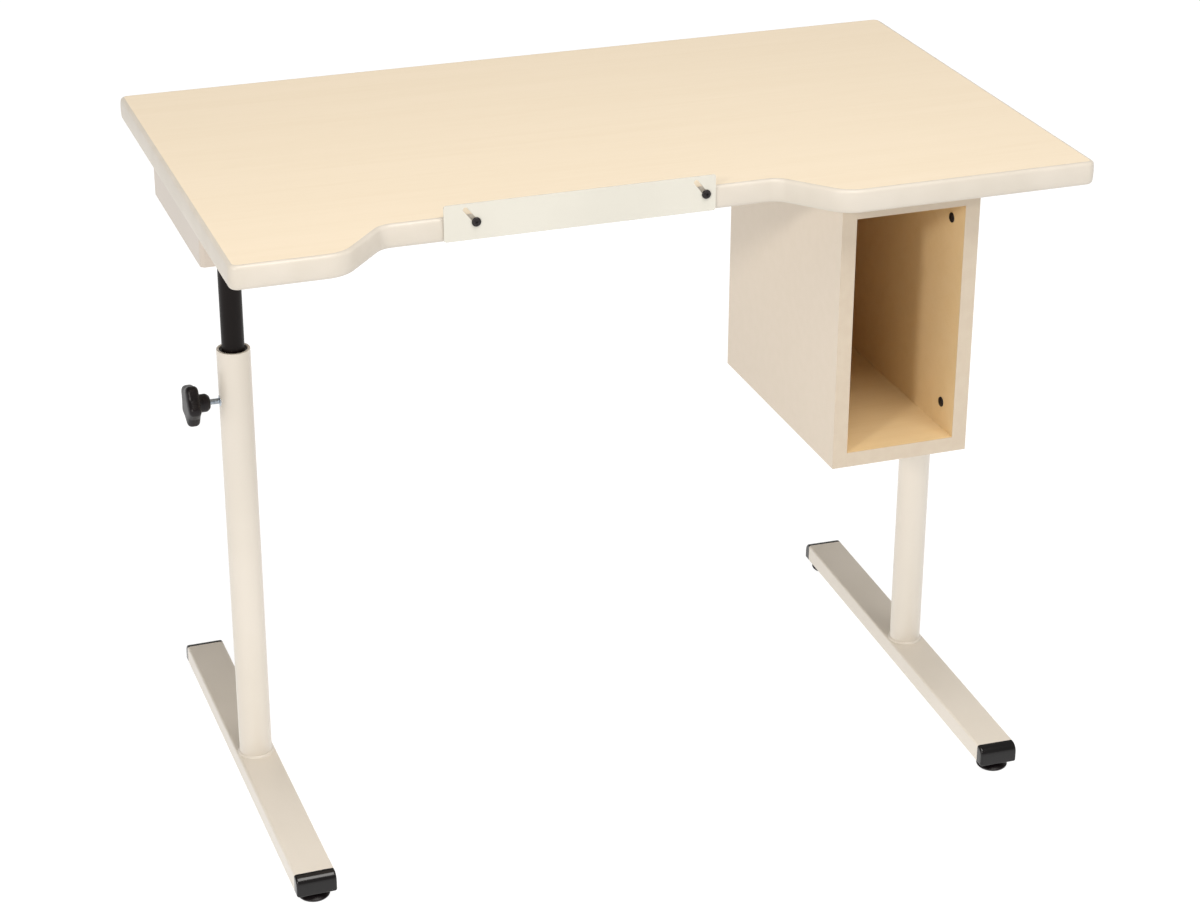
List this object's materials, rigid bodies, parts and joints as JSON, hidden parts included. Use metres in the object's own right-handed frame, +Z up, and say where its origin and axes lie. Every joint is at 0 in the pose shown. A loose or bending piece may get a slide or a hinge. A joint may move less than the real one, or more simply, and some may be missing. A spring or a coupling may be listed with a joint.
{
  "type": "sewing table",
  "caption": "Height-adjustable sewing table with a recessed front edge, a pencil ledge and a hanging open cubby.",
  "frame": {"origin": "on the floor under the middle of the top", "axes": "+X to the user's right along the top's length, +Y to the back, +Z up"},
  "size_m": [1.067, 0.637, 0.8586],
  "materials": {
    "maple_laminate": "pale maple print laminate, satin",
    "particleboard": "raw particleboard",
    "backer_sheet": "plain backer laminate, matt",
    "vinyl_edge": "off-white vinyl, satin",
    "white_enamel": "off-white powder coat",
    "black_screw": "black oxide",
    "almond_melamine": "almond melamine, satin",
    "beech_dowel": "fluted beech",
    "zinc_steel": "bright zinc plate",
    "almond_enamel": "almond powder coat, semi-gloss",
    "black_enamel": "black powder coat, satin",
    "black_nylon": "moulded black nylon",
    "black_cap_plastic": "glossy black polyethylene"
  },
  "bodies": {
    "left_leg": {"left_outer_post": "almond_enamel", "left_foot_tube": "almond_enamel", "left_post_bushing": "black_nylon", "left_clamp_insert": "zinc_steel", "left_front_end_cap": "black_cap_plastic", "left_rear_end_cap": "black_cap_plastic"},
    "top": {"top_core": "particleboard", "top_laminate": "maple_laminate", "top_backer": "backer_sheet", "edge_band": "vinyl_edge", "ledge_screws": "black_screw", "cubby_left_side": "almond_melamine", "cubby_right_side": "almond_melamine", "cubby_bottom": "almond_melamine", "cubby_top": "almond_melamine", "cubby_back": "almond_melamine", "cubby_dowels": "beech_dowel", "cubby_hanging_screws": "zinc_steel", "cubby_side_screws": "black_screw", "left_bracket": "almond_enamel", "left_bracket_screws": "zinc_steel", "left_inner_post": "black_enamel", "left_post_guide": "black_nylon", "right_bracket": "almond_enamel", "right_bracket_screws": "zinc_steel", "right_inner_post": "black_enamel", "right_post_guide": "black_nylon"},
    "right_leg": {"right_outer_post": "almond_enamel", "right_foot_tube": "almond_enamel", "right_post_bushing": "black_nylon", "right_clamp_insert": "zinc_steel", "right_front_end_cap": "black_cap_plastic", "right_rear_end_cap": "black_cap_plastic"},
    "ledge": {"ledge_plate": "white_enamel"},
    "left_knob": {"left_knob_head": "black_nylon", "left_knob_stud": "zinc_steel"},
    "right_knob": {"right_knob_head": "black_nylon", "right_knob_stud": "zinc_steel"},
    "left_front_glide": {"left_front_glide_pad": "black_nylon", "left_front_glide_stem": "zinc_steel"},
    "left_rear_glide": {"left_rear_glide_pad": "black_nylon", "left_rear_glide_stem": "zinc_steel"},
    "right_front_glide": {"right_front_glide_pad": "black_nylon", "right_front_glide_stem": "zinc_steel"},
    "right_rear_glide": {"right_rear_glide_pad": "black_nylon", "right_rear_glide_stem": "zinc_steel"}
  },
  "joints": [
    {"name": "height_slide", "type": "slide", "parent": "left_leg", "child": "top", "axis": [0, 0, 1], "range_m": [-0.15, 0.075]},
    {"name": "right_leg_slide", "type": "slide", "parent": "top", "child": "right_leg", "axis": [0, 0, -1], "range_m": [-0.15, 0.075]},
    {"name": "ledge_drop", "type": "slide", "parent": "top", "child": "ledge", "axis": [0.6241, 0, -0.7813], "range_m": [0, 0.0203]},
    {"name": "left_knob_turn", "type": "hinge", "parent": "left_leg", "child": "left_knob", "pos_m": [-0.468, -0.001, 0.543], "axis": [-1, -0.0044, 0], "continuous": true},
    {"name": "right_knob_turn", "type": "hinge", "parent": "right_leg", "child": "right_knob", "pos_m": [0.468, -0.001, 0.543], "axis": [0.9995, -0.0314, 0], "continuous": true},
    {"name": "left_front_glide_turn", "type": "hinge", "parent": "left_leg", "child": "left_front_glide", "pos_m": [-0.46671, -0.29725, 0], "axis": [0, 0, 1], "continuous": true},
    {"name": "left_rear_glide_turn", "type": "hinge", "parent": "left_leg", "child": "left_rear_glide", "pos_m": [-0.46929, 0.29525, 0], "axis": [0, 0, 1], "continuous": true},
    {"name": "right_front_glide_turn", "type": "hinge", "parent": "right_leg", "child": "right_front_glide", "pos_m": [0.4587, -0.2971, 0], "axis": [0, 0, 1], "continuous": true},
    {"name": "right_rear_glide_turn", "type": "hinge", "parent": "right_leg", "child": "right_rear_glide", "pos_m": [0.4773, 0.2951, 0], "axis": [0, 0, 1], "continuous": true}
  ],
  "couplings": [
    {"joint": "right_leg_slide", "follows": "height_slide", "ratio": 1}
  ]
}
